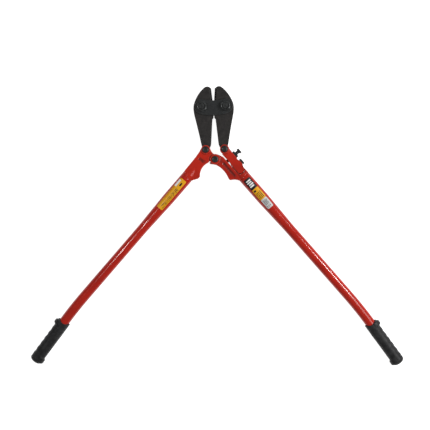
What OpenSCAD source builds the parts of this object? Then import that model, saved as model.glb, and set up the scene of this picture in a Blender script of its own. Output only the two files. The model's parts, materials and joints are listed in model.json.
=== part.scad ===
// Long-handled bolt cutters with compound-lever jaws, lying flat, handles part open.
// Origin: on the axis of the centre handle pin, in the plane that the tool lies on.
// +Y runs towards the jaw tips, +X to the side with the adjusting link, +Z up. Millimetres.

/* [Pose] */
// Angle of each handle from the centreline at rest, degrees
handle_angle = 41; // [38:0.5:44]
// Swing of each handle from rest until the stop pads meet, degrees
handle_close = 38; // [36:0.5:38]
// Lean of the head to the left at rest, about the middle of its tail pins, degrees
head_tilt = 1.7; // [0:0.1:2]
// Turn of the left jaw from rest until the cutting edges meet, degrees
left_jaw_close = 6.27; // [6:0.01:6.4]
// Turn of the right jaw from rest until the cutting edges meet, degrees
right_jaw_close = 5.83; // [5.6:0.01:6.2]

/* [Head] */
// Height of the jaw bolts above the centre pin
jaw_bolt_y = 145.7; // [143:0.1:148]
// Distance of each jaw bolt from the centreline
jaw_bolt_x = 32.5; // [32:0.1:33]
// Thickness of the jaws
jaw_t = 14; // [12:0.5:14]
// Thickness of each side plate
plate_t = 4.9; // [4:0.1:5]
// Radius of the jaw bolt shank
jaw_bolt_r = 8; // [7:0.1:8]
// Width across the flats of the jaw bolt head and nut
jaw_bolt_af = 24; // [22:1:26]
// Depth of the ground bevel behind each cutting edge
bevel_w = 5; // [3:0.5:6]

/* [Joints] */
// Distance of each tail pin from the centreline at rest
tail_pin_x = 25.9; // [25.5:0.1:26.3]
// Height of each tail pin above the centre pin at rest
tail_pin_y = 26.95; // [26.5:0.05:27.5]
// Radius of the tail pin shank
tail_pin_r = 5.5; // [5:0.1:5.5]
// Radius of the tail pin heads
tail_head_r = 8.5; // [7.5:0.1:9]
// Radius of the centre pin shank
centre_pin_r = 6.5; // [6:0.1:7]
// Radius of the centre pin heads
centre_head_r = 9; // [8:0.1:10]
// Radius of the hub around the centre pin
hub_r = 14.4; // [14.2:0.1:15.2]

/* [Handles] */
// Offset of the left tube's axis outwards from the centre pin
left_tube_offset = 26.5; // [26:0.1:27.5]
// Offset of the right tube's axis outwards from the centre pin
right_tube_offset = 28.4; // [27.5:0.1:29]
// Largest outer radius of the tube, next to the forging
tube_r = 16.85; // [16.5:0.05:17]
// Outer radius of the tube along the grip
tube_small_r = 13.8; // [13:0.05:14.5]
// Wall of the tube
tube_wall = 2.5; // [2:0.1:3]
// Distance from the centre pin to the end of the left grip
left_reach = 743.2; // [700:0.1:760]
// Extra length of the right handle
right_extra = 11; // [0:1:15]
// Inward bend of the left tube before the grip, degrees
left_bend = 4.1; // [3:0.1:6]
// Inward bend of the right tube before the grip, degrees
right_bend = 5; // [3:0.1:6]
// Length of the grip
grip_len = 140.5; // [125:0.5:145]
// Outer radius of the grip
grip_r = 17.1; // [16:0.1:18]

/* [Adjuster] */
// Radius of the adjusting and clamp bolts
adjust_r = 4.8; // [4:0.1:5]
// Distance of the adjusting bolt below the centre pin, along the handle
adjust_y = 26; // [25:0.5:27]
// Distance of the clamp bolt below the centre pin, along the handle
clamp_y = 52.5; // [52:0.5:53]

/* [Hidden] */
$fn = 64;

// Colours
forged_black = [0.16, 0.15, 0.15];
oxide_black = [0.09, 0.10, 0.11];
paint_red = [0.80, 0.13, 0.08];
rubber_black = [0.10, 0.10, 0.10];
label_yellow = [0.96, 0.78, 0.10];
label_black = [0.05, 0.05, 0.06];
label_white = [0.93, 0.93, 0.92];

// Gaps: a running pin, two faces that slide, and a cut that runs past a face
run_gap = 0.05;
slide_gap = 0.1;
joint_gap = 0.5;
over = 1;

// Heights, all measured from the middle plane of the tool
mid_z = 20;
ear_half = 15.5;
body_half = 13;
jaw_half = jaw_t / 2;
fork_gap_half = jaw_half + joint_gap;
plate_out = jaw_half + slide_gap + plate_t;
washer_t = 1.6;
nut_t = 8;
stud_out = plate_out + washer_t + nut_t + 1.4;
pin_head_t = 4;

// Tail pin in a handle's own frame, where the tube runs along -Y and outwards is +X.
// side is -1 for the left handle and 1 for the right one.
function tail_point(side) =
    let (
        x = tail_pin_x * cos(head_tilt),
        y = tail_pin_y + side * tail_pin_x * sin(head_tilt),
        dir = atan2(y, x) - handle_angle
    )
    norm([x, y]) * [cos(dir), sin(dir)];
ear_r = 12.6;
eye_r = 11.2;
// The eye is larger than its pin: the pin swings a little off the jaw's own arc
eye_hole_r = tail_pin_r + 2.7;

// Handle stations along the tube, below the centre pin
forging_end = 88;
spigot_len = 62;
taper_start = 166;
taper_end = 272;
// Middle of the bend of the left tube
bend_mid = 557.5;
bend_r = 500;
bend_overlap = 0.1;
bend_step = 0.25;
// Guard lug and end lug of the grip: how far they stand out, and where they run
guard_out = 6;
guard_from = 4;
guard_to = 21.5;
end_lug_out = 3.7;
end_lug_from = 24;
end_lug_to = 5.5;
tube_end_gap = 10;
label_t = 0.2;

// Seat of the adjusting link in the right arm
seat_x = 33.3;
seat_y = -66.5;
seat_r = 11.7;
seat_gap = 0.3;
link_face_x = 47.5;
link_edge_x = 24;
arm_edge_x = 21;
// Side of a handle, for the sizes that differ: -1 is left and 1 is right
function tube_offset(side) = side < 0 ? left_tube_offset : right_tube_offset;
function bend_angle(side) = side < 0 ? left_bend : right_bend;
function extra(side) = side < 0 ? 0 : right_extra;
// Face of the left stop pad
stop_x = 0.2;

// Points of the arc through three points, n steps
function circle_centre(a, b, c) =
    let (d = 2 * (a.x * (b.y - c.y) + b.x * (c.y - a.y) + c.x * (a.y - b.y)))
    [
        (a * a * (b.y - c.y) + b * b * (c.y - a.y) + c * c * (a.y - b.y)) / d,
        (a * a * (c.x - b.x) + b * b * (a.x - c.x) + c * c * (b.x - a.x)) / d
    ];
function turn_between(from, to) = (to - from + 540) % 360 - 180;
function arc(a, b, c, n = 8) =
    let (
        m = circle_centre(a, b, c),
        r = norm(a - m),
        start = atan2(a.y - m.y, a.x - m.x),
        half = turn_between(start, atan2(b.y - m.y, b.x - m.x)),
        rest = turn_between(start + half, atan2(c.y - m.y, c.x - m.x))
    )
    [for (i = [0 : n]) m + r * [cos(start + (half + rest) * i / n), sin(start + (half + rest) * i / n)]];

// A point given for the closed left jaw, turned back to rest about the jaw bolt
function at_rest(p, close) =
    let (x = p.x + jaw_bolt_x)
    [
        -jaw_bolt_x + x * cos(close) - p.y * sin(close),
        x * sin(close) + p.y * cos(close)
    ];

module in_head() translate([0, tail_pin_y, mid_z]) rotate([0, 0, head_tilt])
    translate([0, jaw_bolt_y - tail_pin_y, 0]) children();
module in_left() translate([0, 0, mid_z]) rotate([0, 0, -handle_angle]) mirror([1, 0, 0]) children();
module in_right() translate([0, 0, mid_z]) rotate([0, 0, handle_angle]) children();
module slab(half) translate([0, 0, -half]) linear_extrude(2 * half) children();
module rod(r, from, to) translate([0, 0, from]) cylinder(r = r, h = to - from);
module hex(af, from, to) translate([0, 0, from]) cylinder(r = af / sqrt(3), h = to - from, $fn = 6);
// A solid of revolution about a handle's tube axis; its profile is [radius, distance]
module along_tube(side) translate([tube_offset(side), 0, 0]) rotate([90, 0, 0]) children();

/* Head */

// Ends of the cutting edge and the knuckle below it, for the closed left jaw
edge_tip = [-0.15, 46];
edge_throat = [-0.6, 14];
edge_root = [-0.7, 2];
tail_level = tail_pin_y - jaw_bolt_y;
// Left jaw about its bolt level: x is measured from the head's centreline
function jaw_outline(close) = concat(
    [at_rest(edge_root, close), at_rest(edge_throat, close), at_rest(edge_tip, close)],
    arc([-9.6, 52.4], [-16.5, 54.4], [-22.6, 52.6], 5),
    arc([-27.6, 48.5], [-44.3, 28], [-54.6, 4.5], 9),
    arc([-55.4, -4], [-54.7, -16], [-52.5, -28], 4),
    [[-48.1, -48], [-41.5, -80], [-37.8, -100], [-35.6, -110], [-30, -122]],
    [[-20, -122], [-13.5, -113], [-10.6, -107], [-9.7, -100], [-8.1, -80], [-5.6, -50]],
    [[-4.3, -36], [-3.4, -34], [-1.2, -33], [-0.8, -25]]
);

module jaw_bevel(close) {
    // The bevel runs along the cutting edge, on both faces
    throat = at_rest(edge_throat, close);
    edge = at_rest(edge_tip, close) - throat;
    translate([throat.x, throat.y, 0]) rotate([0, 0, atan2(edge.y, edge.x) - 90]) for (side = [0, 1])
        mirror([0, 0, side]) rotate([90, 0, 180]) translate([0, 0, -2])
            linear_extrude(48)
                polygon([[-over, 0.3], [bevel_w, jaw_half], [bevel_w, jaw_half + over], [-over, jaw_half + over]]);
}

module jaw(close) difference() {
    union() {
        slab(jaw_half) polygon(jaw_outline(close));
        translate([-tail_pin_x, tail_level, 0]) rod(eye_r, -jaw_half, jaw_half);
    }
    jaw_bevel(close);
    translate([-jaw_bolt_x, 0, 0]) rod(jaw_bolt_r + run_gap, -jaw_half - over, jaw_half + over);
    translate([-tail_pin_x, tail_level, 0]) rod(eye_hole_r, -jaw_half - over, jaw_half + over);
}

module left_jaw() color(forged_black) in_head() jaw(left_jaw_close);
module right_jaw() color(forged_black) in_head() mirror([1, 0, 0]) jaw(right_jaw_close);

plate_end_r = 20.5;
function mirrored(points) = [for (i = [len(points) - 1 : -1 : 0]) [-points[i].x, points[i].y]];
plate_half = concat(
    [[7, 15.5]],
    arc([16, 16.5], [24, 18.5], [jaw_bolt_x, plate_end_r], 4),
    arc([38, 19.7], [52.9, 2], [44, -17], 10),
    arc([36, -21.5], [18, -24.5], [6, -25.4], 5)
);

module plate() difference() {
    slab(plate_t / 2) polygon(concat(plate_half, mirrored(plate_half)));
    for (side = [-1, 1])
        translate([side * jaw_bolt_x, 0, 0]) rod(jaw_bolt_r + run_gap, -plate_t, plate_t);
}

module front_plate() color(forged_black) in_head()
    translate([0, 0, plate_out - plate_t / 2]) plate();
module rear_plate() color(forged_black) in_head()
    translate([0, 0, -plate_out + plate_t / 2]) plate();

module jaw_bolt() color(oxide_black) {
    hex(jaw_bolt_af, -mid_z, -plate_out);
    rod(jaw_bolt_r, -plate_out, stud_out - 1);
    translate([0, 0, stud_out - 1]) cylinder(r1 = jaw_bolt_r, r2 = jaw_bolt_r - 1, h = 1);
}
module jaw_washer() color(oxide_black) difference() {
    rod(15, plate_out, plate_out + washer_t);
    rod(jaw_bolt_r + run_gap, plate_out - over, plate_out + washer_t + over);
}
module jaw_nut() color(oxide_black) difference() {
    hex(jaw_bolt_af, plate_out + washer_t, plate_out + washer_t + nut_t);
    rod(jaw_bolt_r + run_gap, plate_out, plate_out + washer_t + nut_t + over);
}

module at_jaw_bolt(side) in_head() translate([side * jaw_bolt_x, 0, 0]) children();
module left_jaw_bolt() at_jaw_bolt(-1) jaw_bolt();
module right_jaw_bolt() at_jaw_bolt(1) jaw_bolt();
module left_jaw_washer() at_jaw_bolt(-1) jaw_washer();
module right_jaw_washer() at_jaw_bolt(1) jaw_washer();
module left_jaw_nut() at_jaw_bolt(-1) jaw_nut();
module right_jaw_nut() at_jaw_bolt(1) jaw_nut();

/* Pins */

// A pin with a domed head in front, riveted over a collar behind; face is where the head sits
module pin(r, head_r, face) color(oxide_black) {
    rod(r, -mid_z + 0.5, face + 0.5);
    translate([0, 0, face]) rotate_extrude()
        polygon([[0, 0], [head_r, 0], [head_r, pin_head_t - 1.5], [head_r - 1.5, pin_head_t], [0, pin_head_t]]);
}
module collar(r, head_r, face) color(oxide_black) difference() {
    rod(head_r, -mid_z, -face);
    rod(r + run_gap, -mid_z - over, -face + over);
}

module centre_pin() translate([0, 0, mid_z]) pin(centre_pin_r, centre_head_r, ear_half + slide_gap);
// The collar's rear face is closed, so that the tool has a flat face to rest on
module centre_collar() color(oxide_black) translate([0, 0, mid_z]) difference() {
    rod(centre_head_r, -mid_z, -ear_half - slide_gap);
    rod(centre_pin_r + run_gap, -mid_z + 0.5, 0);
}

module at_tail(side) translate(tail_point(side)) children();
module left_tail_pin() in_left() at_tail(-1) pin(tail_pin_r, tail_head_r, ear_half);
module right_tail_pin() in_right() at_tail(1) pin(tail_pin_r, tail_head_r, ear_half);
module left_tail_collar() in_left() at_tail(-1) collar(tail_pin_r, tail_head_r, ear_half);
module right_tail_collar() in_right() at_tail(1) collar(tail_pin_r, tail_head_r, ear_half);

/* Forgings */

// Round end of a forging: a cone out of its flat faces, a collar, and a spigot inside the tube
module tube_end(side) {
    along_tube(side) rotate_extrude() polygon([
        [0, 50], [12.5, 50], [tube_r, 78], [tube_r, forging_end],
        [tube_r - tube_wall - run_gap, forging_end],
        [tube_r - tube_wall - run_gap, forging_end + spigot_len - 3],
        [tube_r - tube_wall - 3, forging_end + spigot_len], [0, forging_end + spigot_len]
    ]);
}

// Gap between the ears that hold a jaw's tail, open upwards and outwards
slot_inner = 15.4;
slot_depth = 14.4;
module tail_slot(side) at_tail(side) translate([-slot_inner, -slot_depth, -fork_gap_half])
    cube([40, 40, 2 * fork_gap_half]);
module tail_ears(side) at_tail(side) rod(ear_r, -ear_half, ear_half);
module tail_hole(side) at_tail(side) rod(tail_pin_r + run_gap, -ear_half - over, ear_half + over);

// Outline of the left forging, mirrored by in_left, so that outwards is +X here
fork_outline = concat(
    [[48.9, -1], [46.2, -12], [44.5, -28], [43.9, -45], [43.1, -80]],
    [[9.9, -86], [8, -81.5]],
    arc([4.2, -76.5], [2.8, -74], [1, -71.5], 3),
    [[stop_x, -69.5], [stop_x, -62.5]],
    arc([1.8, -61], [11.6, -38], [8, -19], 10),
    [[8, -13], [4, 11]],
    arc([8, 9.6], [17, 8.8], [29, 13.4], 5)
);

// Web below the hub, which turns inside the arm's slot
web_r = 18.8;
fork_web = [[3, -9], [6, -17.4], [1.5, -web_r + 0.3], [-2.8, -15.4], [-6, -13.4], [-9, -9]];

module left_fork() color(paint_red) in_left() difference() {
    union() {
        slab(body_half) polygon(fork_outline);
        tail_ears(-1);
        rod(hub_r - joint_gap, -fork_gap_half + joint_gap, fork_gap_half - joint_gap);
        slab(fork_gap_half - joint_gap) polygon(fork_web);
        tube_end(-1);
    }
    tail_slot(-1);
    tail_hole(-1);
    rod(centre_pin_r + run_gap, -mid_z, mid_z);
    // Room for the two cheeks of the right arm
    for (side = [0, 1]) mirror([0, 0, side]) rod(hub_r + joint_gap, jaw_half, mid_z);
    // Shallow panel in each face
    for (side = [0, 1]) mirror([0, 0, side]) translate([0, 0, body_half - 1.2])
        linear_extrude(over + 2) polygon([[15, -21], [36, -22], [36, -31], [18, -31]]);
}

// The right stop pad lies along the left one when both handles have closed
function stop_pad(reach) =
    let (turn = 2 * (handle_angle - handle_close), back = stop_x - 0.15)
    [-reach * sin(turn) - back * cos(turn), -reach * cos(turn) + back * sin(turn)];
arm_outline = concat(
    [[-9.3, -11.2], [-7.2, -15]],
    arc([-6.3, -18], [-3.1, -34], [-5, -57], 8),
    [stop_pad(62), stop_pad(69.5)],
    arc([-6, -71], [1, -75], [11.8, -88], 6),
    [[44.9, -88], [44.4, seat_y], [seat_x - seat_r, seat_y], [arm_edge_x, -46], [arm_edge_x, -14]],
    arc([20.4, -9], [18, -3.5], [13, 6.8], 4)
);

// Cylinders that run outwards across the right handle, such as the adjuster's bolts
module across(r, y, from, to) translate([from, -y, 0]) rotate([0, 90, 0]) cylinder(r = r, h = to - from);

module right_arm() color(paint_red) in_right() difference() {
    union() {
        slab(body_half) polygon(arm_outline);
        rod(hub_r, -ear_half, ear_half);
        tube_end(1);
    }
    // Slot for the tongue and the web of the left fork
    rod(web_r + joint_gap, -fork_gap_half, fork_gap_half);
    rod(centre_pin_r + run_gap, -mid_z, mid_z);
    // Round seat of the adjusting link, open towards its ears
    translate([seat_x, seat_y, 0]) rod(seat_r, -mid_z, mid_z);
    slab(mid_z) polygon([
        [arm_edge_x, -46], [seat_x - seat_r, seat_y], [60, seat_y], [60, -30], [arm_edge_x, -30]
    ]);
    // Tapped hole for the clamp bolt
    across(adjust_r + seat_gap, clamp_y, 6, 40);
    // Channel along each face of the arm
    for (side = [0, 1]) mirror([0, 0, side]) translate([0, 0, body_half - 1.5])
        linear_extrude(over + 2) polygon([[7, -22], [13, -22], [13, -70], [9, -70], [7, -60]]);
}

link_outline = concat(
    [[link_edge_x, -1.5], [link_edge_x, -36], [21.8, -42], [21.8, -53]],
    arc([seat_x - seat_r + seat_gap, seat_y], [seat_x, seat_y - seat_r + seat_gap],
        [seat_x + seat_r - seat_gap, seat_y], 16),
    arc([47.4, -60], [48.2, -52.5], [47.4, -45], 3),
    [[45.9, -41], [46.4, -38], [link_face_x, -36.3], [link_face_x, -15.6], [48.9, -1]]
);

module adjusting_link() color(paint_red) in_right() difference() {
    union() {
        slab(body_half) polygon(link_outline);
        tail_ears(1);
    }
    tail_slot(1);
    tail_hole(1);
    across(adjust_r + seat_gap, adjust_y, 20, 60);
    across(adjust_r + run_gap, clamp_y, 15, 60);
}

/* Adjuster */

module on_cross_axis(y, x) translate([x, -y, 0]) rotate([0, 90, 0]) children();

module adjusting_bolt() color(oxide_black) in_right() on_cross_axis(adjust_y, arm_edge_x) {
    head_from = 61.5 - arm_edge_x;
    rod(adjust_r, 0.2, head_from);
    hex(13, head_from, head_from + 6.3);
}
module lock_nut() color(oxide_black) in_right() on_cross_axis(adjust_y, link_face_x) difference() {
    union() {
        rod(10, 0, 1.6);
        hex(16.5, 1.6, 6.4);
    }
    rod(adjust_r + seat_gap, -over, 8);
}
module clamp_bolt() color(oxide_black) in_right() on_cross_axis(clamp_y, 0) {
    rod(adjust_r, 8, 48.3);
    hex(15, 48.3, 54.4);
}

/* Tubes, grips and labels */

// Radius of the tube at a distance below the centre pin
function tube_radius(s) =
    s < taper_start ? tube_r :
    s > taper_end ? tube_small_r :
    tube_r - (tube_r - tube_small_r) * (s - taper_start) / (taper_end - taper_start);

function bend_len(side) = bend_r * sin(bend_angle(side));
function bend_start(side) = bend_mid + extra(side) - bend_len(side) / 2;
// Length of the tube and of the grip's end beyond the bend
function reach_after_bend(side) =
    (left_reach + extra(side) - bend_start(side) - bend_len(side)) / cos(bend_angle(side));

// Places children at the end of the bend, with the tube's axis along +Z from there
module after_bend(side) translate([tube_offset(side), -bend_start(side), 0])
    translate([-bend_r * (1 - cos(bend_angle(side))), -bend_len(side), 0])
        rotate([0, 0, -bend_angle(side)]) rotate([90, 0, 0]) children();

// The bend runs a little way into the straight stretches, and is finer by bend_step
module bend(r, side) translate([tube_offset(side) - bend_r, -bend_start(side), 0])
    rotate([0, 0, -bend_angle(side) - bend_overlap])
        rotate_extrude(angle = bend_angle(side) + 2 * bend_overlap)
            translate([bend_r, 0]) circle(r = r - bend_step);

module tube_solid(shrink, side, extend) {
    along_tube(side) rotate_extrude() polygon([
        [0, forging_end - extend], [tube_r - shrink, forging_end - extend],
        [tube_r - shrink, taper_start], [tube_small_r - shrink, taper_end],
        [tube_small_r - shrink, bend_start(side)], [0, bend_start(side)]
    ]);
    bend(tube_small_r - shrink, side);
    after_bend(side) rod(tube_small_r - shrink, 0, reach_after_bend(side) - tube_end_gap + extend);
}

module tube(side) color(paint_red) difference() {
    tube_solid(0, side, 0);
    tube_solid(tube_wall, side, over);
}

module left_tube() in_left() tube(-1);
module right_tube() in_right() tube(1);

module grip(side) color(rubber_black) after_bend(side) {
    end = reach_after_bend(side);
    top = end - grip_len;
    difference() {
        union() {
            rotate_extrude() polygon(concat(
                [[0, top], [grip_r - 1, top], [grip_r, top + 2]],
                arc([grip_r, end - 8], [grip_r - 3.5, end - 2.5], [0, end], 8)
            ));
            // Guard lug outwards at the top, and end lug inwards
            translate([guard_out, 0, 0]) rod(grip_r, top + guard_from, top + guard_to);
            translate([-end_lug_out, 0, 0]) rod(grip_r, end - end_lug_from, end - end_lug_to);
        }
        rod(tube_small_r + run_gap, top - over, end - tube_end_gap + 0.5);
    }
}

module left_grip() in_left() grip(-1);
module right_grip() in_right() grip(1);

// Sticker on the front of a tube, between two distances, over an arc centred at lean degrees
module label(side, from, to, width, lean) along_tube(side) rotate([0, 0, 90 + lean - width / 2])
    rotate_extrude(angle = width) {
        stations = concat([from], from < taper_start && to > taper_start ? [taper_start] : [], [to]);
        polygon(concat(
            [for (s = stations) [tube_radius(s) + run_gap, s]],
            [for (i = [len(stations) - 1 : -1 : 0]) [tube_radius(stations[i]) + run_gap + label_t, stations[i]]]
        ));
    }

module left_label() color(label_yellow) in_left() label(-1, 98.5, 201, 72, -7);
module right_label_black() color(label_black) in_right() label(1, 97, 131, 74, 0);
module right_label_yellow() color(label_yellow) in_right() label(1, 131.3, 167, 74, 0);
module right_label_white() color(label_white) in_right() label(1, 167.3, 199, 70, 0);

left_jaw();
right_jaw();
front_plate();
rear_plate();
left_jaw_bolt();
right_jaw_bolt();
left_jaw_washer();
right_jaw_washer();
left_jaw_nut();
right_jaw_nut();
centre_pin();
centre_collar();
left_fork();
left_tail_pin();
left_tail_collar();
left_tube();
left_grip();
left_label();
right_arm();
adjusting_link();
right_tail_pin();
right_tail_collar();
clamp_bolt();
adjusting_bolt();
lock_nut();
right_tube();
right_grip();
right_label_black();
right_label_yellow();
right_label_white();
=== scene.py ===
"""Looks of the long-handled bolt cutters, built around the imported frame.

Every CAD node is replaced by a finer piece that rides on the node's own body. Sizes are in
millimetres in each piece's own frame and become metres when its mesh is placed.
"""

import json
import math

import bmesh
import bpy
import numpy as np
from mathutils import Matrix, Vector

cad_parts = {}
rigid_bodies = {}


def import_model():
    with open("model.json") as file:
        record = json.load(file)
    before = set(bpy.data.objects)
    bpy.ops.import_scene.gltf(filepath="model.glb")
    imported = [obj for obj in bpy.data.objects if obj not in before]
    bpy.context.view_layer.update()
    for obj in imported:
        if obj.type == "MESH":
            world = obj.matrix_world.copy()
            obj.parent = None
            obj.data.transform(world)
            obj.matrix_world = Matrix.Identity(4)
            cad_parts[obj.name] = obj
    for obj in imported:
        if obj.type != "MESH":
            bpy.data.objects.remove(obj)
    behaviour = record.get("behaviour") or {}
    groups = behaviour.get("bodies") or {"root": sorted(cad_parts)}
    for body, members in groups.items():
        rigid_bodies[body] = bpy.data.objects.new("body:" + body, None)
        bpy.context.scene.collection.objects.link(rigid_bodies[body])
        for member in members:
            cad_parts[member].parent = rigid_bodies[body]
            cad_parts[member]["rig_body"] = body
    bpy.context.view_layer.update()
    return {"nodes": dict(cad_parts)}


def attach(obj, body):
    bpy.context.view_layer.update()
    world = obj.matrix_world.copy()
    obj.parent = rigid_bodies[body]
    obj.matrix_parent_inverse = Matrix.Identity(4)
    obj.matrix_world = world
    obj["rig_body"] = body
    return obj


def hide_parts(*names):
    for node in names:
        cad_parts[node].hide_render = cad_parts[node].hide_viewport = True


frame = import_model()


# ---------------------------------------------------------------- sizes

MM = 0.001
MID_Z = 20.0
HANDLE_ANGLE = math.radians(41)
LEFT, RIGHT = -1, 1
SIDE_NAME = {LEFT: "left", RIGHT: "right"}

# Head: its lean, and where the tail pins and the jaw bolts are
HEAD_TILT = math.radians(1.7)
TAIL_PIN_X, TAIL_PIN_Y = 25.9, 26.95
JAW_BOLT_X, JAW_BOLT_Y = 32.5, 145.7
JAW_BOLT_R = 8.0
JAW_BOLT_AF = 24.0
PLATE_OUT = 12.0
WASHER_R, WASHER_T = 15.0, 1.6
NUT_T = 8.0
STUD_OUT = PLATE_OUT + WASHER_T + NUT_T + 1.4
JAW_PITCH, JAW_THREAD = 2.0, 0.9

# A hexagon's flat face as a share of half its width, and how far its chamfered corners sink
HEX_FLAT, HEX_FALL = 0.955, 0.5

# Half heights between which a forging's face lies in one of its panels
RECESS_TOP, RECESS_LOW = 12.3, 11.1

# Pins
EAR_HALF = 15.5
PIN_HEAD_T = 4.0
CENTRE_PIN_R, CENTRE_HEAD_R = 6.5, 9.0
TAIL_PIN_R, TAIL_HEAD_R = 5.5, 8.5

# Tubes: distances run down the handle from the centre pin
TUBE_OFFSET = {LEFT: 26.5, RIGHT: 28.4}
TUBE_R, TUBE_SMALL_R, TUBE_WALL = 16.85, 13.8, 2.5
TUBE_TOP = 88.0
TAPER_START, TAPER_END = 166.0, 272.0
BEND = {LEFT: math.radians(4.1), RIGHT: math.radians(5.0)}
BEND_MID, BEND_R = 557.5, 1130.0
REACH = 743.2
EXTRA = {LEFT: 0.0, RIGHT: 11.0}
TUBE_END_GAP = 10.0

# Grips: distances run down the grip from its top
GRIP_LEN, GRIP_R = 140.5, 17.1
GUARD_OUT, END_LUG_OUT = 6.0, 3.7

# Adjuster: distances run outwards from the handle's centre line
ADJUST_R = 4.8
ADJUST_PITCH, ADJUST_THREAD = 1.5, 0.45
ADJUST_Y, CLAMP_Y = 26.0, 52.5
ARM_EDGE_X, LINK_FACE_X = 21.0, 47.5
ADJUST_HEAD_X, ADJUST_HEAD_AF, ADJUST_HEAD_T = 61.5, 13.0, 6.3
LOCK_AF, LOCK_T, LOCK_FLANGE_R = 16.5, 6.4, 10.0
CLAMP_TIP_X, CLAMP_THREAD_END = 8.0, 24.0
CLAMP_HEAD_X, CLAMP_HEAD_END, CLAMP_HEAD_AF = 48.3, 54.4, 15.0

# Points round a turned piece, and round a tube or a grip
TURNED_POINTS, TUBE_POINTS = 72, 96

TURN = 2 * math.pi


# ---------------------------------------------------------------- frames

def handle_frame(side):
    """Matrix from a handle's own frame (x outwards, -y down the tube, z up), in millimetres."""
    scale = Matrix.Diagonal((side * MM, MM, MM, 1))
    swing = Matrix.Rotation(side * HANDLE_ANGLE, 4, "Z")
    return Matrix.Translation((0, 0, MID_Z * MM)) @ swing @ scale


def head_frame():
    """Matrix from the head's frame (origin between the jaw bolts), in millimetres."""
    tails = Matrix.Translation((0, TAIL_PIN_Y * MM, MID_Z * MM))
    bolts = Matrix.Translation((0, (JAW_BOLT_Y - TAIL_PIN_Y) * MM, 0))
    return tails @ Matrix.Rotation(HEAD_TILT, 4, "Z") @ bolts @ Matrix.Scale(MM, 4)


def upright(x, y):
    return Matrix.Translation((x, y, 0))


def across(x, y):
    """Turns a piece built along +Z so that it points outwards across a handle."""
    return Matrix.Translation((x, -y, 0)) @ Matrix.Rotation(math.radians(90), 4, "Y")


def tail_point(side):
    """Tail pin in its handle's own frame."""
    x = TAIL_PIN_X * math.cos(HEAD_TILT)
    y = TAIL_PIN_Y + side * TAIL_PIN_X * math.sin(HEAD_TILT)
    turn = math.atan2(y, x) - HANDLE_ANGLE
    return math.hypot(x, y) * math.cos(turn), math.hypot(x, y) * math.sin(turn)


# ---------------------------------------------------------------- mesh tools

def piece(name, mesh, node, material, sharp=None):
    """A new visible piece that stands for a CAD node."""
    obj = bpy.data.objects.new(name, mesh)
    bpy.context.scene.collection.objects.link(obj)
    mesh.materials.clear()
    mesh.materials.append(material)
    mesh.polygons.foreach_set("use_smooth", [True] * len(mesh.polygons))
    if sharp:
        mesh.set_sharp_from_angle(angle=math.radians(sharp))
    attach(obj, frame["nodes"][node]["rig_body"])
    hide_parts(node)
    return obj


def face_outwards(mesh):
    tidy = bmesh.new()
    tidy.from_mesh(mesh)
    bmesh.ops.recalc_face_normals(tidy, faces=tidy.faces)
    tidy.to_mesh(mesh)
    tidy.free()


def skin(name, rings, matrix, closed=False):
    """Closed mesh through rings of points. The rings run right round when closed; otherwise a fan
    to the ring's middle closes each end."""
    rings = [np.asarray(ring, float) for ring in rings]
    count, size = len(rings), len(rings[0])
    points = np.concatenate(rings)
    faces = []
    for k in range(count if closed else count - 1):
        a, b = k * size, ((k + 1) % count) * size
        faces += [(a + i, a + (i + 1) % size, b + (i + 1) % size, b + i) for i in range(size)]
    if not closed:
        middles = np.array([rings[0].mean(0), rings[-1].mean(0)])
        first, last = len(points), len(points) + 1
        points = np.concatenate([points, middles])
        end = (count - 1) * size
        faces += [(first, (i + 1) % size, i) for i in range(size)]
        faces += [(last, end + i, end + (i + 1) % size) for i in range(size)]
    mesh = bpy.data.meshes.new(name)
    mesh.from_pydata([tuple(p) for p in points], [], faces)
    mesh.transform(matrix)
    face_outwards(mesh)
    return mesh


def circle(radius, z):
    turns = [TURN * i / TURNED_POINTS for i in range(TURNED_POINTS)]
    return [(radius * math.cos(turn), radius * math.sin(turn), z) for turn in turns]


def hexagon(af, z, flat_r=None, fall=0.0):
    """Ring on a hexagon's sides; beyond flat_r it sinks by fall, as a chamfered corner does."""
    ring = []
    for i in range(TURNED_POINTS):
        turn = TURN * i / TURNED_POINTS
        side = (turn + math.pi / 6) % (math.pi / 3) - math.pi / 6
        radius = af / 2 / math.cos(side)
        sink = fall * max(0, radius - flat_r) if flat_r else 0
        ring.append((radius * math.cos(turn), radius * math.sin(turn), z - sink))
    return ring


def threaded(radius, start, end, pitch, depth, per_turn=6):
    """Rings of a screw thread, with a lead-in at its far end."""
    rings = []
    steps = int((end - start) / pitch * per_turn)
    for k in range(steps + 1):
        z = start + (end - start) * k / steps
        lead = min(1, (end - z) / (1.5 * depth) + 0.35)
        ring = []
        for i in range(TURNED_POINTS):
            wave = ((z - start) / pitch + i / TURNED_POINTS) % 1
            groove = depth * abs(2 * wave - 1)
            r = radius - depth * (1 - lead) - groove * (1 if 0 < k < steps else 0.6)
            turn = TURN * i / TURNED_POINTS
            ring.append((r * math.cos(turn), r * math.sin(turn), z))
        rings.append(ring)
    return rings


def hex_head(af, start, end, dish=0.45):
    """Rings of a hexagonal head from start to end, its slightly dished free face towards end."""
    up = 1 if end > start else -1
    flat = af / 2 * HEX_FLAT
    return [
        hexagon(af - 0.8, start), hexagon(af, start + 0.4 * up),
        hexagon(af, end, flat_r=flat, fall=HEX_FALL * up),
        circle(flat - 0.25, end), circle(flat - 1.6, end - 0.05 * up),
        circle(flat * 0.55, end - dish * up * 0.5), circle(1.0, end - dish * up * 0.6),
    ]


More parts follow.
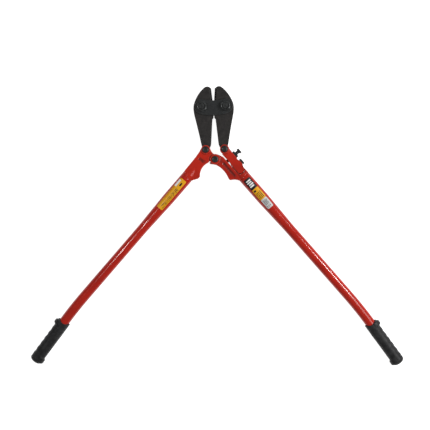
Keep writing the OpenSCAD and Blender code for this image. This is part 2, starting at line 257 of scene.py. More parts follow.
def forged(node, voxel, passes, side=0):
    """The node's shape with the rounded edges of a forging, and its values for wear and painted
    shade.
    side is the handle that it belongs to, or 0 for the head. voxel is in millimetres."""
    source = frame["nodes"][node]
    rough = bpy.data.objects.new("rough", source.data.copy())
    bpy.context.scene.collection.objects.link(rough)
    remesh = rough.modifiers.new("remesh", "REMESH")
    remesh.mode = "VOXEL"
    remesh.voxel_size = voxel * MM
    smooth = rough.modifiers.new("smooth", "SMOOTH")
    smooth.factor = 0.5
    smooth.iterations = passes
    shaped = rough.evaluated_get(bpy.context.evaluated_depsgraph_get())
    mesh = bpy.data.meshes.new_from_object(shaped)
    bpy.data.objects.remove(rough)
    mark_surface(mesh, voxel * MM, side)
    return mesh


# Painted shade where one forging meets another, in the handle's frame: dark lines for the shade
# in the gaps round the hub and the tail pin, at the rounded seat of the link, along the slit
# between link and arm, and in the arm's channel
PIN_RINGS_WIDTH, SEAM_WIDTH = 1.1, 1.7
HUB_RING_R, HUB_SHADE = 15.4, 0.6
TAIL_RING_OUT, TAIL_SHADE = 0.7, 0.9
SEAT_X, SEAT_Y, SEAT_R, SEAT_OVER = 33.3, -66.5, 11.7, 4.0
SLIT_OUT = 0.8
CHANNEL_X, CHANNEL_WIDTH, CHANNEL_SHADE = 9.5, 4.0, 0.45
CHANNEL_TOP, CHANNEL_END = -12.0, -74.0


def joint_shade_lines(points, side):
    """How strong the painted shade of a gap between two pieces is at each point, from 0 to 1."""
    local = np.array(handle_frame(side).inverted())
    spots = points @ local[:3, :3].T + local[:3, 3]
    x, y = spots[:, 0], spots[:, 1]
    tail_x, tail_y = tail_point(side)

    def line(off, width):
        return np.exp(-((off / width) ** 2))

    hub_ring = line(np.hypot(x, y) - HUB_RING_R, PIN_RINGS_WIDTH)
    tail_off = np.hypot(x - tail_x, y - tail_y) - TAIL_HEAD_R - TAIL_RING_OUT
    lines = [HUB_SHADE * hub_ring, TAIL_SHADE * line(tail_off, PIN_RINGS_WIDTH)]
    if side == RIGHT:
        seat = line(np.hypot(x - SEAT_X, y - SEAT_Y) - SEAT_R, SEAM_WIDTH)
        slit = line(x - ARM_EDGE_X - SLIT_OUT, SEAM_WIDTH)
        channel = line(x - CHANNEL_X, CHANNEL_WIDTH) * (y > CHANNEL_END)
        lines += [seat * (y < SEAT_Y + SEAT_OVER), slit * (y > SEAT_Y) * (y < CHANNEL_TOP),
                  CHANNEL_SHADE * channel * (y < CHANNEL_TOP)]
    return np.max(lines, axis=0)


# How far a surface value is spread, how convex an edge has to be, and how steep a side is
SPREAD_STEPS = 6
EDGE_GAIN = 6.0
LEVEL_NORMAL, STEEP_AT = 0.8, 0.35


def mark_surface(mesh, step, side):
    """Stores at each point how convex, how steep and how sunk it is, and its painted shade at
    gaps between pieces.
    """
    count = len(mesh.vertices)

    def read(items, field, kind, width):
        values = np.empty(len(items) * width, kind)
        items.foreach_get(field, values)
        return values.reshape(-1, width)

    points = read(mesh.vertices, "co", np.float32, 3)
    normals = read(mesh.vertices, "normal", np.float32, 3)
    edges = read(mesh.edges, "vertices", np.int32, 2)
    ends = np.concatenate([edges[:, 0], edges[:, 1]])
    others = np.concatenate([edges[:, 1], edges[:, 0]])
    number = np.maximum(np.bincount(ends, minlength=count), 1)

    def around(values):
        return np.bincount(ends, weights=values[others], minlength=count) / number

    def spread(values):
        for _ in range(SPREAD_STEPS):
            values = 0.5 * values + 0.5 * around(values)
        return values

    middle = np.stack([around(points[:, k]) for k in range(3)], axis=1)
    convex = spread(-np.einsum("ij,ij->i", middle - points, normals) / step)
    height = np.abs(points[:, 2] / MM - MID_Z)
    level = np.abs(normals[:, 2])
    sunk = (height < RECESS_TOP) & (height > RECESS_LOW) & (level > LEVEL_NORMAL)
    layers = {
        "edge": np.clip(0.5 + convex * EDGE_GAIN, 0, 1),
        "recess": spread(sunk.astype(float)),
        # Painted shade along the gaps between pieces, used by the red paint
        "joint": joint_shade_lines(points, side) if side else np.zeros(count),
        "slope": np.clip((1 - level) / STEEP_AT, 0, 1),
    }
    for name, values in layers.items():
        layer = mesh.attributes.new(name, "FLOAT", "POINT")
        layer.data.foreach_set("value", values.astype(np.float32))


# ---------------------------------------------------------------- materials

# The values that a noise mostly keeps between, and the convex edge values over which paint wears
NOISE_LOW, NOISE_HIGH = 0.3, 0.7
WEAR_FROM, WEAR_FULL = 0.66, 0.92


class Finish:
    """A node material under construction: small helpers that return sockets."""

    def __init__(self, name):
        self.material = bpy.data.materials.new(name)
        self.material.use_nodes = True
        self.tree = self.material.node_tree
        self.shader = self.tree.nodes["Principled BSDF"]
        self.coords = self.tree.nodes.new("ShaderNodeTexCoord")

    def link(self, source, target):
        self.tree.links.new(source, target)

    def node(self, kind, **values):
        made = self.tree.nodes.new(kind)
        for key, value in values.items():
            setattr(made, key, value)
        return made

    def noise(self, scale, detail=4.0, rough=0.6, stretch=None):
        tex = self.node("ShaderNodeTexNoise")
        tex.inputs["Scale"].default_value = scale
        tex.inputs["Detail"].default_value = detail
        tex.inputs["Roughness"].default_value = rough
        place = self.coords.outputs["Object"]
        if stretch:
            mapping = self.node("ShaderNodeMapping")
            mapping.inputs["Scale"].default_value = stretch
            self.link(place, mapping.inputs["Vector"])
            place = mapping.outputs["Vector"]
        self.link(place, tex.inputs["Vector"])
        return tex.outputs["Fac"]

    def remap(self, socket, low, high, to_low, to_high, smooth=False):
        made = self.node("ShaderNodeMapRange")
        made.interpolation_type = "SMOOTHSTEP" if smooth else "LINEAR"
        self.link(socket, made.inputs["Value"])
        ends = {"From Min": low, "From Max": high, "To Min": to_low, "To Max": to_high}
        for key, value in ends.items():
            made.inputs[key].default_value = value
        return made.outputs["Result"]

    def vary(self, low, high, scale, detail, rough=0.6):
        """A value that drifts between low and high over the surface."""
        return self.remap(self.noise(scale, detail, rough), NOISE_LOW, NOISE_HIGH, low, high)

    def wear(self, most):
        """How far a convex edge is worn, up to most."""
        return self.remap(self.attribute("edge"), WEAR_FROM, WEAR_FULL, 0, most, smooth=True)

    def times(self, a, b):
        return self.math("MULTIPLY", a, b)

    def math(self, operation, a, b):
        made = self.node("ShaderNodeMath", operation=operation)
        for k, value in enumerate((a, b)):
            if isinstance(value, (int, float)):
                made.inputs[k].default_value = value
            else:
                self.link(value, made.inputs[k])
        return made.outputs[0]

    def mix(self, factor, a, b):
        made = self.node("ShaderNodeMix", data_type="RGBA")
        self.link(factor, made.inputs["Factor"])
        for key, value in (("A", a), ("B", b)):
            socket = [s for s in made.inputs if s.name == key and s.type == "RGBA"][0]
            if isinstance(value, (tuple, list)):
                socket.default_value = (*value, 1)
            else:
                self.link(value, socket)
        return [s for s in made.outputs if s.type == "RGBA"][0]

    def attribute(self, name):
        made = self.node("ShaderNodeAttribute")
        made.attribute_name = name
        return made.outputs["Fac"]

    def bump(self, *layers):
        """Layers are (height socket, strength, distance in millimetres)."""
        normal = None
        for height, strength, distance in layers:
            made = self.node("ShaderNodeBump")
            made.inputs["Strength"].default_value = strength
            made.inputs["Distance"].default_value = distance * MM
            self.link(height, made.inputs["Height"])
            if normal:
                self.link(normal, made.inputs["Normal"])
            normal = made.outputs["Normal"]
        self.link(normal, self.shader.inputs["Normal"])

    def constant(self, **values):
        for key, value in values.items():
            self.shader.inputs[key.replace("_", " ")].default_value = value

    def colour(self, socket):
        self.link(socket, self.shader.inputs["Base Color"])

    def roughness(self, socket):
        self.link(socket, self.shader.inputs["Roughness"])


def darker(colour, share):
    return tuple(share * c for c in colour)


def painted(name, base, deep, shadow, worn, has_edges, orange_peel, smoothest):
    """Glossy enamel: slow colour drift, a fine speckle of dust nibs, painted shade in sunk
    panels, creases and the gaps between pieces, and thin paint on edges. A tube has no edge
    values, so its has_edges is 0."""
    f = Finish(name)
    drift = f.remap(f.noise(16, 3), 0.35, 0.65, 0, 1, smooth=True)
    tone = f.mix(drift, base, deep)
    nibs = f.remap(f.noise(900, 2, 0.5), 0.66, 0.74, 0, 0.5)
    tone = f.mix(nibs, tone, deep)
    # Painted shade in the sunk panels, mottled by a noise, towards the shadow colour
    panel_shade_mottle = f.remap(f.noise(120, 5, 0.7), 0.35, 0.60, 0.35, 0.9)
    tone = f.mix(f.times(f.attribute("recess"), panel_shade_mottle), tone, shadow)
    # Painted shade in concave creases, towards the shadow colour; tubes get none
    crease_shade = f.remap(f.attribute("edge"), 0.12, 0.44, 0.8, 0, smooth=True)
    tone = f.mix(f.times(crease_shade, has_edges), tone, shadow)
    # Painted shade, nearly black, along the gaps between pieces
    tone = f.mix(f.times(f.attribute("joint"), 0.92), tone, darker(shadow, 0.4))
    chip = f.remap(f.noise(260, 5, 0.7), 0.48, 0.58, 0.15, 1)
    f.colour(f.mix(f.times(f.wear(0.75), chip), tone, worn))
    gloss = f.vary(smoothest, smoothest + 0.07, 70, 4)
    f.roughness(f.math("MAXIMUM", gloss, f.times(f.attribute("joint"), 0.8)))
    f.constant(Specular_IOR_Level=0.25)
    f.bump((f.noise(330, 2, 0.4), orange_peel, 0.4), (f.noise(60, 3), orange_peel, 1.2))
    return f.material


def forged_steel(name, base, light, worn, rough, grain):
    """Forged steel under a dark oxide: mottled scale, pits, rubbed edges and painted shade on
    steep sides.
    """
    f = Finish(name)
    scale_marks = f.remap(f.noise(75, 8, 0.7), 0.36, 0.66, 0, 1)
    fine = f.remap(f.noise(420, 5, 0.65), 0.4, 0.62, 0, 0.6)
    tone = f.mix(scale_marks, base, light)
    tone = f.mix(fine, tone, base)
    # Painted shade: steep sides are darkened towards a darker copy of the base
    tone = f.mix(f.times(f.attribute("slope"), 0.85), tone, darker(base, 0.35))
    patch = f.remap(f.noise(150, 5, 0.7), 0.40, 0.60, 0.1, 1)
    f.colour(f.mix(f.times(f.wear(0.45), patch), tone, worn))
    f.roughness(f.vary(rough - 0.09, rough + 0.10, 190, 6, 0.7))
    f.constant(Metallic=0.35, Specular_IOR_Level=0.35)
    f.bump((f.noise(grain, 7, 0.72), 0.30, 0.9), (f.noise(55, 4), 0.22, 2.2))
    return f.material


def oxide(name, base, light, rough):
    """Turned and blackened steel for pins, bolts and nuts."""
    f = Finish(name)
    cloud = f.remap(f.noise(130, 6, 0.65), 0.35, 0.68, 0, 1)
    tone = f.mix(cloud, base, light)
    rub = f.remap(f.noise(900, 3, 0.5), 0.58, 0.72, 0, 0.55)
    f.colour(f.mix(rub, tone, light))
    f.roughness(f.vary(rough - 0.08, rough + 0.1, 300, 5))
    f.constant(Metallic=0.55, Specular_IOR_Level=0.45)
    f.bump((f.noise(700, 4, 0.6), 0.12, 0.4))
    return f.material


def rubber(name, base, grey):
    """Dipped vinyl grip: a satin skin with fine pebble and scuffs."""
    f = Finish(name)
    dust = f.remap(f.noise(55, 5, 0.6), 0.38, 0.66, 0, 1)
    tone = f.mix(dust, base, grey)
    scuff = f.remap(f.noise(240, 6, 0.75, stretch=(1, 3, 1)), 0.60, 0.72, 0, 0.5)
    f.colour(f.mix(scuff, tone, grey))
    f.roughness(f.vary(0.40, 0.56, 120, 4))
    f.constant(Specular_IOR_Level=0.16)
    f.bump((f.noise(1100, 3, 0.55), 0.22, 0.4), (f.noise(60, 3), 0.10, 1.5))
    return f.material


def printed(name, paper, marks):
    """A varnished sticker with u down the handle and v from the outer edge to the inner one.
    Marks are (ink, list of (u0, u1, v0, v1), rows, gaps): with rows 0 each is a plain block,
    otherwise it is that many rows to the sticker's width, broken where a noise is below gaps."""
    f = Finish(name)
    split = f.node("ShaderNodeSeparateXYZ")
    f.link(f.coords.outputs["UV"], split.inputs[0])
    u, v = split.outputs["X"], split.outputs["Y"]
    tone = f.mix(f.vary(0, 0.35, 90, 4), paper, darker(paper, 0.8))
    for ink, blocks, rows, gaps in marks:
        for u0, u1, v0, v1 in blocks:
            inside = f.times(f.math("GREATER_THAN", u, u0), f.math("LESS_THAN", u, u1))
            inside = f.times(inside, f.math("GREATER_THAN", v, v0))
            inside = f.times(inside, f.math("LESS_THAN", v, v1))
            if rows:
                line = f.math("LESS_THAN", f.math("FRACT", f.times(v, rows), 0), 0.5)
                broken = f.math("GREATER_THAN", f.noise(430, 1, 0.3), gaps)
                inside = f.times(inside, f.times(line, broken))
            tone = f.mix(inside, tone, ink)
    f.colour(tone)
    f.roughness(f.vary(0.28, 0.42, 160, 3))
    f.constant(Specular_IOR_Level=0.22)
    f.bump((f.noise(200, 3), 0.05, 0.4))
    return f.material


RED = painted("enamel_red", base=(0.37, 0.013, 0.0035), deep=(0.27, 0.009, 0.003),
              shadow=(0.10, 0.008, 0.004), worn=(0.40, 0.05, 0.03),
              has_edges=1, orange_peel=0.06, smoothest=0.20)
TUBE_RED = painted("enamel_red_tube", base=(0.34, 0.011, 0.004), deep=(0.28, 0.009, 0.0035),
                   shadow=(0.10, 0.008, 0.004), worn=(0.36, 0.05, 0.03),
                   has_edges=0, orange_peel=0.010, smoothest=0.09)
JAW_STEEL = forged_steel("steel_jaw", base=(0.008, 0.007, 0.0067), light=(0.026, 0.0225, 0.021),
                         worn=(0.075, 0.07, 0.065), rough=0.50, grain=260)
PLATE_STEEL = forged_steel("steel_plate", base=(0.010, 0.011, 0.0115),
                           light=(0.018, 0.0195, 0.020), worn=(0.055, 0.055, 0.055),
                           rough=0.46, grain=420)
OXIDE = oxide("oxide_pins", base=(0.010, 0.011, 0.011), light=(0.030, 0.032, 0.031), rough=0.36)
OXIDE_BRIGHT = oxide("oxide_nuts", base=(0.014, 0.015, 0.015), light=(0.055, 0.058, 0.058),
                     rough=0.24)
RUBBER = rubber("vinyl_black", base=(0.008, 0.008, 0.0085), grey=(0.020, 0.020, 0.0205))

INK, BROWN_INK = (0.008, 0.008, 0.009), (0.35, 0.05, 0.01)
BAR_INK, LINE_INK = (0.07, 0.07, 0.08), (0.12, 0.12, 0.13)
WHITE, PALE = (0.62, 0.62, 0.60), (0.60, 0.60, 0.59)
YELLOW, SILVER = (0.58, 0.28, 0.003), (0.42, 0.43, 0.42)
LABEL_LEFT = printed("label_left", YELLOW, [
    (WHITE, [(0.05, 0.27, 0.0, 0.30)], 0, 0),
    (INK, [(0.10, 0.20, 0.52, 0.74)], 0, 0),
    (BROWN_INK, [(0.30, 0.93, 0.10, 0.32)], 3, 0.46),
    (INK, [(0.30, 0.95, 0.44, 0.90)], 6, 0.44),
])
LABEL_BLACK = printed("label_black", INK, [
    (PALE, [(0.16, 0.27, 0.16, 0.80), (0.33, 0.43, 0.22, 0.86), (0.50, 0.61, 0.14, 0.78),
            (0.67, 0.80, 0.24, 0.84)], 0, 0),
])
LABEL_YELLOW = printed("label_yellow", YELLOW, [
    (INK, [(0.12, 0.26, 0.56, 0.90)], 0, 0),
    (INK, [(0.34, 0.92, 0.12, 0.88)], 5, 0.40),
])
LABEL_WHITE = printed("label_white", SILVER, [
    (BAR_INK, [(0.14, 0.62, 0.16, 0.84)], 11, 0),
    (LINE_INK, [(0.70, 0.88, 0.15, 0.85)], 4, 0.42),
])

# ---------------------------------------------------------------- forgings and head

# Node, voxel in millimetres, smoothing passes, slot and material
FORGINGS = [
    ("left_jaw", 0.75, 5, "forged_steel", JAW_STEEL),
    ("right_jaw", 0.75, 5, "forged_steel", JAW_STEEL),
    ("front_plate", 0.7, 4, "forged_steel", PLATE_STEEL),
    ("rear_plate", 0.7, 4, "forged_steel", PLATE_STEEL),
    ("left_fork", 0.85, 9, "red_paint", RED),
    ("right_arm", 0.85, 9, "red_paint", RED),
    ("adjusting_link", 0.8, 8, "red_paint", RED),
]
SIDE_OF = {"left_fork": LEFT, "right_arm": RIGHT, "adjusting_link": RIGHT}
for node, voxel, passes, slot, material in FORGINGS:
    mesh = forged(node, voxel, passes, SIDE_OF.get(node, 0))
    piece(node + "_forging", mesh, node, material)


def turned(name, profile, matrix, bored=False):
    """Solid of revolution from a profile of (radius, height): from end to end, or right round
    the section when it is bored through."""
    return skin(name, [circle(r, z) for r, z in profile], matrix, closed=bored)


def jaw_bolt(side):
    """A jaw's bolt with its head at the back, and the washer and nut on the front plate."""
    name = SIDE_NAME[side]
    place = head_frame() @ upright(side * JAW_BOLT_X, 0)
    r = JAW_BOLT_R
    low, high = PLATE_OUT, PLATE_OUT + WASHER_T
    head = hex_head(JAW_BOLT_AF, -PLATE_OUT, -MID_Z + 0.01)[::-1]
    shank = [circle(r, -PLATE_OUT), circle(r, high)]
    thread = threaded(r, high + 0.2, STUD_OUT, JAW_PITCH, JAW_THREAD)
    end = [circle(r - 2.4, STUD_OUT - 0.05), circle(r - 5, STUD_OUT - 0.5)]
    piece(name + "_jaw_bolt_turned", skin("bolt", head + shank + thread + end, place),
          name + "_jaw_bolt", OXIDE_BRIGHT, sharp=35)
    washer = [(r + 0.1, low), (WASHER_R - 0.4, low), (WASHER_R, low + 0.4),
              (WASHER_R, high - 0.4), (WASHER_R - 0.4, high), (r + 0.4, high),
              (r + 0.1, high - 0.3)]
    piece(name + "_jaw_washer_pressed", turned("washer", washer, place, bored=True),
          name + "_jaw_washer", OXIDE_BRIGHT, sharp=35)
    low, high = high, high + NUT_T
    flat = JAW_BOLT_AF / 2 * HEX_FLAT
    bore = r + 0.05
    nut = [
        circle(bore, low + 1), circle(bore + 1, low), circle(flat, low),
        hexagon(JAW_BOLT_AF, low, flat_r=flat, fall=-HEX_FALL),
        hexagon(JAW_BOLT_AF, high, flat_r=flat, fall=HEX_FALL),
        circle(flat - 0.25, high), circle(bore + 1.3, high), circle(bore, high - 1.2),
    ]
    piece(name + "_jaw_nut_turned", skin("nut", nut, place, closed=True),
          name + "_jaw_nut", OXIDE_BRIGHT, sharp=35)


for side in (LEFT, RIGHT):
    jaw_bolt(side)


def headed_pin(node, place, radius, head_r, face):
    """A pin with a chamfered, slightly domed head; its tail is riveted in a countersink."""
    back, top = -MID_Z, face + PIN_HEAD_T
    profile = [(radius * 0.3, back + 0.7), (radius - 0.6, back + 0.6), (radius, back + 1.2),
               (radius, face - 0.2), (head_r - 0.5, face), (head_r, face + 0.5),
               (head_r, top - 1.7), (head_r - 0.35, top - 1.2), (head_r - 1.5, top - 0.5),
               (head_r * 0.62, top - 0.12), (head_r * 0.3, top - 0.02), (0.6, top)]
    piece(node + "_turned", turned("pin", profile, place), node, OXIDE, sharp=50)


def pin_collar(node, place, radius, head_r, face, closed_back):
    """The collar on a pin's tail: a cap when its back is closed, otherwise a ring."""
    low = -MID_Z
    bore = radius + 0.05
    rim = [(head_r - 0.8, low), (head_r, low + 0.8), (head_r, -face - 0.5), (head_r - 0.5, -face)]
    if closed_back:
        profile = [(0.6, low)] + rim + [(radius + 0.3, -face), (bore, -face - 0.3),
                                        (bore, low + 0.6), (0.6, low + 0.5)]
    else:
        profile = [(radius + 0.9, low)] + rim + [(bore, -face), (bore, low + 0.9)]
    mesh = turned("collar", profile, place, bored=not closed_back)
    piece(node + "_turned", mesh, node, OXIDE, sharp=50)


centre = Matrix.Translation((0, 0, MID_Z * MM)) @ Matrix.Scale(MM, 4)
centre_face = EAR_HALF + 0.1
headed_pin("centre_pin", centre, CENTRE_PIN_R, CENTRE_HEAD_R, centre_face)
pin_collar("centre_collar", centre, CENTRE_PIN_R, CENTRE_HEAD_R, centre_face, closed_back=True)
for side in (LEFT, RIGHT):
    place = handle_frame(side) @ upright(*tail_point(side))
    name = SIDE_NAME[side] + "_tail"
    headed_pin(name + "_pin", place, TAIL_PIN_R, TAIL_HEAD_R, EAR_HALF)
    pin_collar(name + "_collar", place, TAIL_PIN_R, TAIL_HEAD_R, EAR_HALF, closed_back=False)

# ---------------------------------------------------------------- adjuster


def adjuster_part(node, mesh):
    piece(node + "_turned", mesh, node, OXIDE, sharp=35)


def blunt_tip(height):
    """Rings that close the threaded end of an adjuster bolt."""
    return [circle(2.0, height), circle(ADJUST_R - 0.8, height - 0.05)]


place = handle_frame(RIGHT) @ across(ARM_EDGE_X, ADJUST_Y)
head_from = ADJUST_HEAD_X - ARM_EDGE_X
thread = threaded(ADJUST_R, 0.9, head_from - 0.5, ADJUST_PITCH, ADJUST_THREAD)
head = hex_head(ADJUST_HEAD_AF, head_from, head_from + ADJUST_HEAD_T)
adjuster_part("adjusting_bolt", skin("bolt", blunt_tip(0.3) + thread + head, place))

place = handle_frame(RIGHT) @ across(LINK_FACE_X, ADJUST_Y)
flat = LOCK_AF / 2 * HEX_FLAT
bore = ADJUST_R + 0.3
flange = [circle(bore, 0.05), circle(LOCK_FLANGE_R - 0.4, 0.05), circle(LOCK_FLANGE_R, 0.4),
          circle(LOCK_FLANGE_R, 1.1), circle(LOCK_FLANGE_R - 0.6, 1.6), circle(8.9, 1.7)]
body = [hexagon(LOCK_AF, 1.9), hexagon(LOCK_AF, LOCK_T, flat_r=flat, fall=HEX_FALL),
        circle(flat - 0.25, LOCK_T), circle(bore + 0.8, LOCK_T), circle(bore, LOCK_T - 0.8)]
adjuster_part("lock_nut", skin("nut", flange + body, place, closed=True))

place = handle_frame(RIGHT) @ across(0, CLAMP_Y)
thread = threaded(ADJUST_R, CLAMP_TIP_X + 0.7, CLAMP_THREAD_END, ADJUST_PITCH, ADJUST_THREAD)
shank = [circle(ADJUST_R - 0.1, CLAMP_THREAD_END + 0.3),
         circle(ADJUST_R - 0.1, CLAMP_HEAD_X - 0.1)]
head = hex_head(CLAMP_HEAD_AF, CLAMP_HEAD_X, CLAMP_HEAD_END)
tip = blunt_tip(CLAMP_TIP_X + 0.1)
adjuster_part("clamp_bolt", skin("bolt", tip + thread + shank + head, place))

# ---------------------------------------------------------------- tubes, grips and labels


def bend_start(side):
    return BEND_MID + EXTRA[side] - BEND_R * math.sin(BEND[side]) / 2


def axis_at(side, distance):
    """Centre and outward direction of a tube at a distance along it, in its handle's frame."""
    bend, start = BEND[side], bend_start(side)
    x, y = TUBE_OFFSET[side], -min(distance, start)
    turn = min(max(distance - start, 0) / BEND_R, bend)
    x -= BEND_R * (1 - math.cos(turn))
    y -= BEND_R * math.sin(turn)
    after = max(0, distance - start - BEND_R * bend)
    x -= after * math.sin(bend)
    y -= after * math.cos(bend)
    return Vector((x, y, 0)), Vector((math.cos(turn), -math.sin(turn), 0))


def tube_length(side):
    """Distance along a tube's axis to the end of its grip."""
    bend, start = BEND[side], bend_start(side)
    left_over = REACH + EXTRA[side] - start - BEND_R * math.sin(bend)
    return start + BEND_R * bend + left_over / math.cos(bend)


def tube_radius(distance):
    share = min(max((distance - TAPER_START) / (TAPER_END - TAPER_START), 0), 1)
    return TUBE_R - (TUBE_R - TUBE_SMALL_R) * share


def point_on(side, distance, radius, turn):
    """Point round a tube's axis: turn 0 is outwards and a quarter turn is the front."""
    middle, outwards = axis_at(side, float(distance))
    upwards = Vector((0, 0, 1))
    return middle + float(radius) * (math.cos(turn) * outwards + math.sin(turn) * upwards)


def ring_on(side, distance, radius):
    turns = [TURN * i / TUBE_POINTS for i in range(TUBE_POINTS)]
    return [point_on(side, distance, radius, turn) for turn in turns]


TUBE_STATIONS = 110
TUBE_CHAMFER = 0.35


def make_tube(side):
    end = tube_length(side) - TUBE_END_GAP
    between = list(np.linspace(TUBE_TOP + 6, end - 0.6, TUBE_STATIONS))
    stations = [TUBE_TOP, TUBE_TOP + 0.6] + between + [end]
    chamfer = {TUBE_TOP: TUBE_CHAMFER, end: TUBE_CHAMFER}
    outer = [ring_on(side, s, tube_radius(s) - chamfer.get(s, 0)) for s in stations]
    inner = [ring_on(side, s, tube_radius(s) - TUBE_WALL) for s in stations[::-1]]
    node = SIDE_NAME[side] + "_tube"
    mesh = skin("tube", outer + inner, handle_frame(side), closed=True)
    piece(node + "_drawn", mesh, node, TUBE_RED, sharp=60)


def bump_between(value, low, full_low, full_high, high):
    """Rises from 0 at low to 1 at full_low, and falls from 1 at full_high to 0 at high."""
    rise = min(max((value - low) / (full_low - low), 0), 1)
    fall = min(max((high - value) / (high - full_high), 0), 1)
    share = min(rise, fall)
    return share * share * (3 - 2 * share)


def lug(turn, out):
    """Radius of a grip where a round lug stands out towards turn 0."""
    if out * math.cos(turn) <= 0:
        return GRIP_R
    side_step = abs(out) * abs(math.cos(turn))
    return max(GRIP_R, side_step + math.sqrt(GRIP_R ** 2 - (out * math.sin(turn)) ** 2))


# Each span is where a feature of the grip starts, is full, starts to fall and ends
GUARD_SPAN, HEEL_SPAN = (4, 10.5, 17.5, 24), (115, 121, 130.5, 136.5)
WAVE_SPAN, WAVE_CREST, WAVE_PITCH, WAVE_OUT = (27, 33, 118, 124), 33.5, 17.0, 0.5
RIB_SPAN, RIB_PITCH, RIB_OUT = (26, 28, 48, 50), 2.6, 0.32
END_ROUND, END_RINGS = 12.2, 16
MOUTH_FRONT, MOUTH_OUTER, MOUTH_END = 8.5, 2.5, 20.0
GRIP_STEP, GRIP_BORE = 0.65, TUBE_SMALL_R + 0.05


def grip_radius(t, turn):
    """Outer radius of a grip at distance t from its top."""
    guard = GUARD_OUT * bump_between(t, *GUARD_SPAN)
    heel = END_LUG_OUT * bump_between(t, *HEEL_SPAN)
    radius = max(lug(turn, guard), lug(turn, -heel))
    outer = max(0, math.cos(turn)) ** 1.5
    wave = math.cos(TURN * (t - WAVE_CREST) / WAVE_PITCH)
    radius += WAVE_OUT * bump_between(t, *WAVE_SPAN) * outer * wave
    ribs = bump_between(t, *RIB_SPAN) * (0.5 + 0.5 * math.cos(TURN * t / RIB_PITCH))
    radius += RIB_OUT * ribs * (1 - outer)
    x = max(0, (t - (GRIP_LEN - END_ROUND)) / END_ROUND)
    if x > 0:
        radius = min(radius, max(radius * (1 - min(x, 1) ** 2.8) ** 0.5, 0.3))
    return radius


def make_grip(side):
    """A grip from the bottom of its bore, over its curved mouth and down to its rounded end."""
    length = tube_length(side)
    top = length - GRIP_LEN
    body = list(np.arange(2.0, GRIP_LEN - END_ROUND, GRIP_STEP))
    tip = [GRIP_LEN - END_ROUND * (1 - k / END_RINGS) ** 1.6 for k in range(END_RINGS)]
    rings = [ring_on(side, length - TUBE_END_GAP + 0.5, GRIP_BORE)]
    mouth_edge = [(0.0, None), (0.0, 0.9), (0.7, 0.3)]
    for t, thin in mouth_edge + [(t, 0) for t in body + tip + [GRIP_LEN]]:
        ring = []
        for i in range(TUBE_POINTS):
            turn = TURN * i / TUBE_POINTS
            outer = max(0, math.cos(turn))
            mouth = MOUTH_FRONT * math.sin(turn) ** 2 + MOUTH_OUTER * outer ** 2
            place = t + mouth * max(0, 1 - t / MOUTH_END) ** 1.5
            radius = GRIP_BORE if thin is None else grip_radius(max(place, t), turn) - thin
            ring.append(point_on(side, top + place, radius, turn))
        rings.append(ring)
    node = SIDE_NAME[side] + "_grip"
    mesh = skin("grip", rings, handle_frame(side))
    piece(node + "_moulded", mesh, node, RUBBER, sharp=60)


CORNER = 3.0
LABEL_GAP, LABEL_T = 0.06, 0.18


def make_label(node, side, start, end, width, lean, material, along=30, over=28):
    """A sticker with rounded corners wrapped on the front of a tube. start and end are distances
    down the handle; width and lean are angles round the tube, in degrees."""
    middle, half = math.radians(90 + lean), math.radians(width / 2)
    half_arc = half * TUBE_R
    flat, uvs = [], []
    for j in range(over + 1):
        v = j / over
        from_edge = half_arc * (1 - abs(2 * v - 1))
        cut = CORNER - math.sqrt(max(0, CORNER ** 2 - max(0, CORNER - from_edge) ** 2))
        for i in range(along + 1):
            s = start + cut + (end - start - 2 * cut) * i / along
            flat.append((s, middle - half + 2 * half * v))
            uvs.append(((s - start) / (end - start), v))
    points = []
    for lift in (LABEL_GAP + LABEL_T, LABEL_GAP):
        points += [point_on(side, s, tube_radius(s) + lift, turn) for s, turn in flat]
    row, under = along + 1, len(flat)
    faces = []
    for j in range(over):
        for i in range(along):
            a = j * row + i
            faces.append((a, a + 1, a + row + 1, a + row))
            faces.append(tuple(under + k for k in (a, a + row, a + row + 1, a + 1)))
    rim = list(range(along)) + [j * row + along for j in range(over)]
    rim += [over * row + i for i in range(along, 0, -1)] + [j * row for j in range(over, 0, -1)]
    for a, b in zip(rim, rim[1:] + rim[:1]):
        faces.append((a, under + a, under + b, b))
    mesh = bpy.data.meshes.new("label")
    mesh.from_pydata([tuple(p) for p in points], [], faces)
    mesh.transform(handle_frame(side))
    layer = mesh.uv_layers.new(name="print")
    for loop in mesh.loops:
        layer.data[loop.index].uv = uvs[loop.vertex_index % under]
    face_outwards(mesh)
    piece(node + "_sticker", mesh, node, material, sharp=40)


for side in (LEFT, RIGHT):
    make_tube(side)
    make_grip(side)
make_label("left_label", LEFT, 98.5, 201, width=72, lean=-7,
           material=LABEL_LEFT, along=72)
make_label("right_label_black", RIGHT, 97, 131, width=74, lean=0,
           material=LABEL_BLACK)
make_label("right_label_yellow", RIGHT, 131.3, 167, width=74, lean=0,
           material=LABEL_YELLOW)
make_label("right_label_white", RIGHT, 167.3, 199, width=70, lean=0,
           material=LABEL_WHITE)

# ---------------------------------------------------------------- floor, light and camera

scene = bpy.context.scene
scene.view_settings.view_transform = "Standard"

FLOOR_HALF = 8.0
FLOOR_GLOW, WORLD_STRENGTH = 0.93, 0.38
PAPER, PAPER_LIGHT = (0.44, 0.44, 0.44), (0.48, 0.48, 0.48)
WHITE_LIGHT = (1, 1, 1, 1)

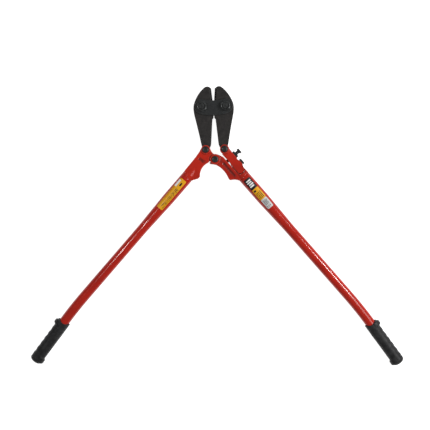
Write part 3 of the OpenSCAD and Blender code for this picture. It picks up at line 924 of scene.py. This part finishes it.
floor_mesh = bpy.data.meshes.new("floor")
floor_mesh.from_pydata([(-FLOOR_HALF, -FLOOR_HALF, 0), (FLOOR_HALF, -FLOOR_HALF, 0),
                        (FLOOR_HALF, FLOOR_HALF, 0), (-FLOOR_HALF, FLOOR_HALF, 0)],
                       [], [(0, 1, 2, 3)])
floor = bpy.data.objects.new("floor", floor_mesh)
scene.collection.objects.link(floor)
sheet = Finish("floor_paper")
sheet.colour(sheet.mix(sheet.vary(0, 1, 3, 2), PAPER, PAPER_LIGHT))
sheet.constant(Roughness=0.9, Specular_IOR_Level=0.1, Emission_Strength=FLOOR_GLOW,
               Emission_Color=WHITE_LIGHT)
floor_mesh.materials.append(sheet.material)

world = bpy.data.worlds.new("studio")
scene.world = world
world.use_nodes = True
background = world.node_tree.nodes["Background"]
background.inputs["Color"].default_value = WHITE_LIGHT
background.inputs["Strength"].default_value = WORLD_STRENGTH


def softbox(name, place, target, width, height, power):
    light = bpy.data.lights.new(name, "AREA")
    light.shape = "RECTANGLE"
    light.size, light.size_y = width, height
    light.energy = power
    obj = bpy.data.objects.new(name, light)
    scene.collection.objects.link(obj)
    facing = (Vector(target) - Vector(place)).to_track_quat("-Z", "Y").to_matrix().to_4x4()
    obj.matrix_world = Matrix.Translation(place) @ facing


# The key stands on the right and the strip on the upper left, where the tubes' highlights put
# them; the wash lights the right faces softly. Places and sizes are in metres.
softbox("key_box", (1.64, 0.62, 1.5), target=(0.30, -0.30, 0), width=0.22, height=0.27, power=23)
softbox("strip_box", (-0.84, 0.15, 1.5), target=(-0.26, -0.26, 0), width=0.05, height=0.12,
        power=6.4)
softbox("wash_box", (1.25, -0.15, 1.2), target=(0.1, -0.1, 0), width=0.9, height=0.9, power=17)

# Camera straight above, at the height where its picture is FRAME_WIDTH metres wide at mid height
FRAME_WIDTH = 1.1782
LENS, SENSOR = 135.0, 36.0
ROLL = math.radians(-0.26)
PIN_SHIFT = (0.00027, 0.15234)
camera_data = bpy.data.cameras.new("camera")
camera_data.lens, camera_data.sensor_width = LENS, SENSOR
camera = bpy.data.objects.new("camera", camera_data)
scene.collection.objects.link(camera)
shift = Matrix.Rotation(ROLL, 2) @ Vector(PIN_SHIFT)
camera.location = (-shift.x, -shift.y, MID_Z * MM + FRAME_WIDTH * LENS / SENSOR)
camera.rotation_euler = (0, 0, ROLL)
scene.camera = camera
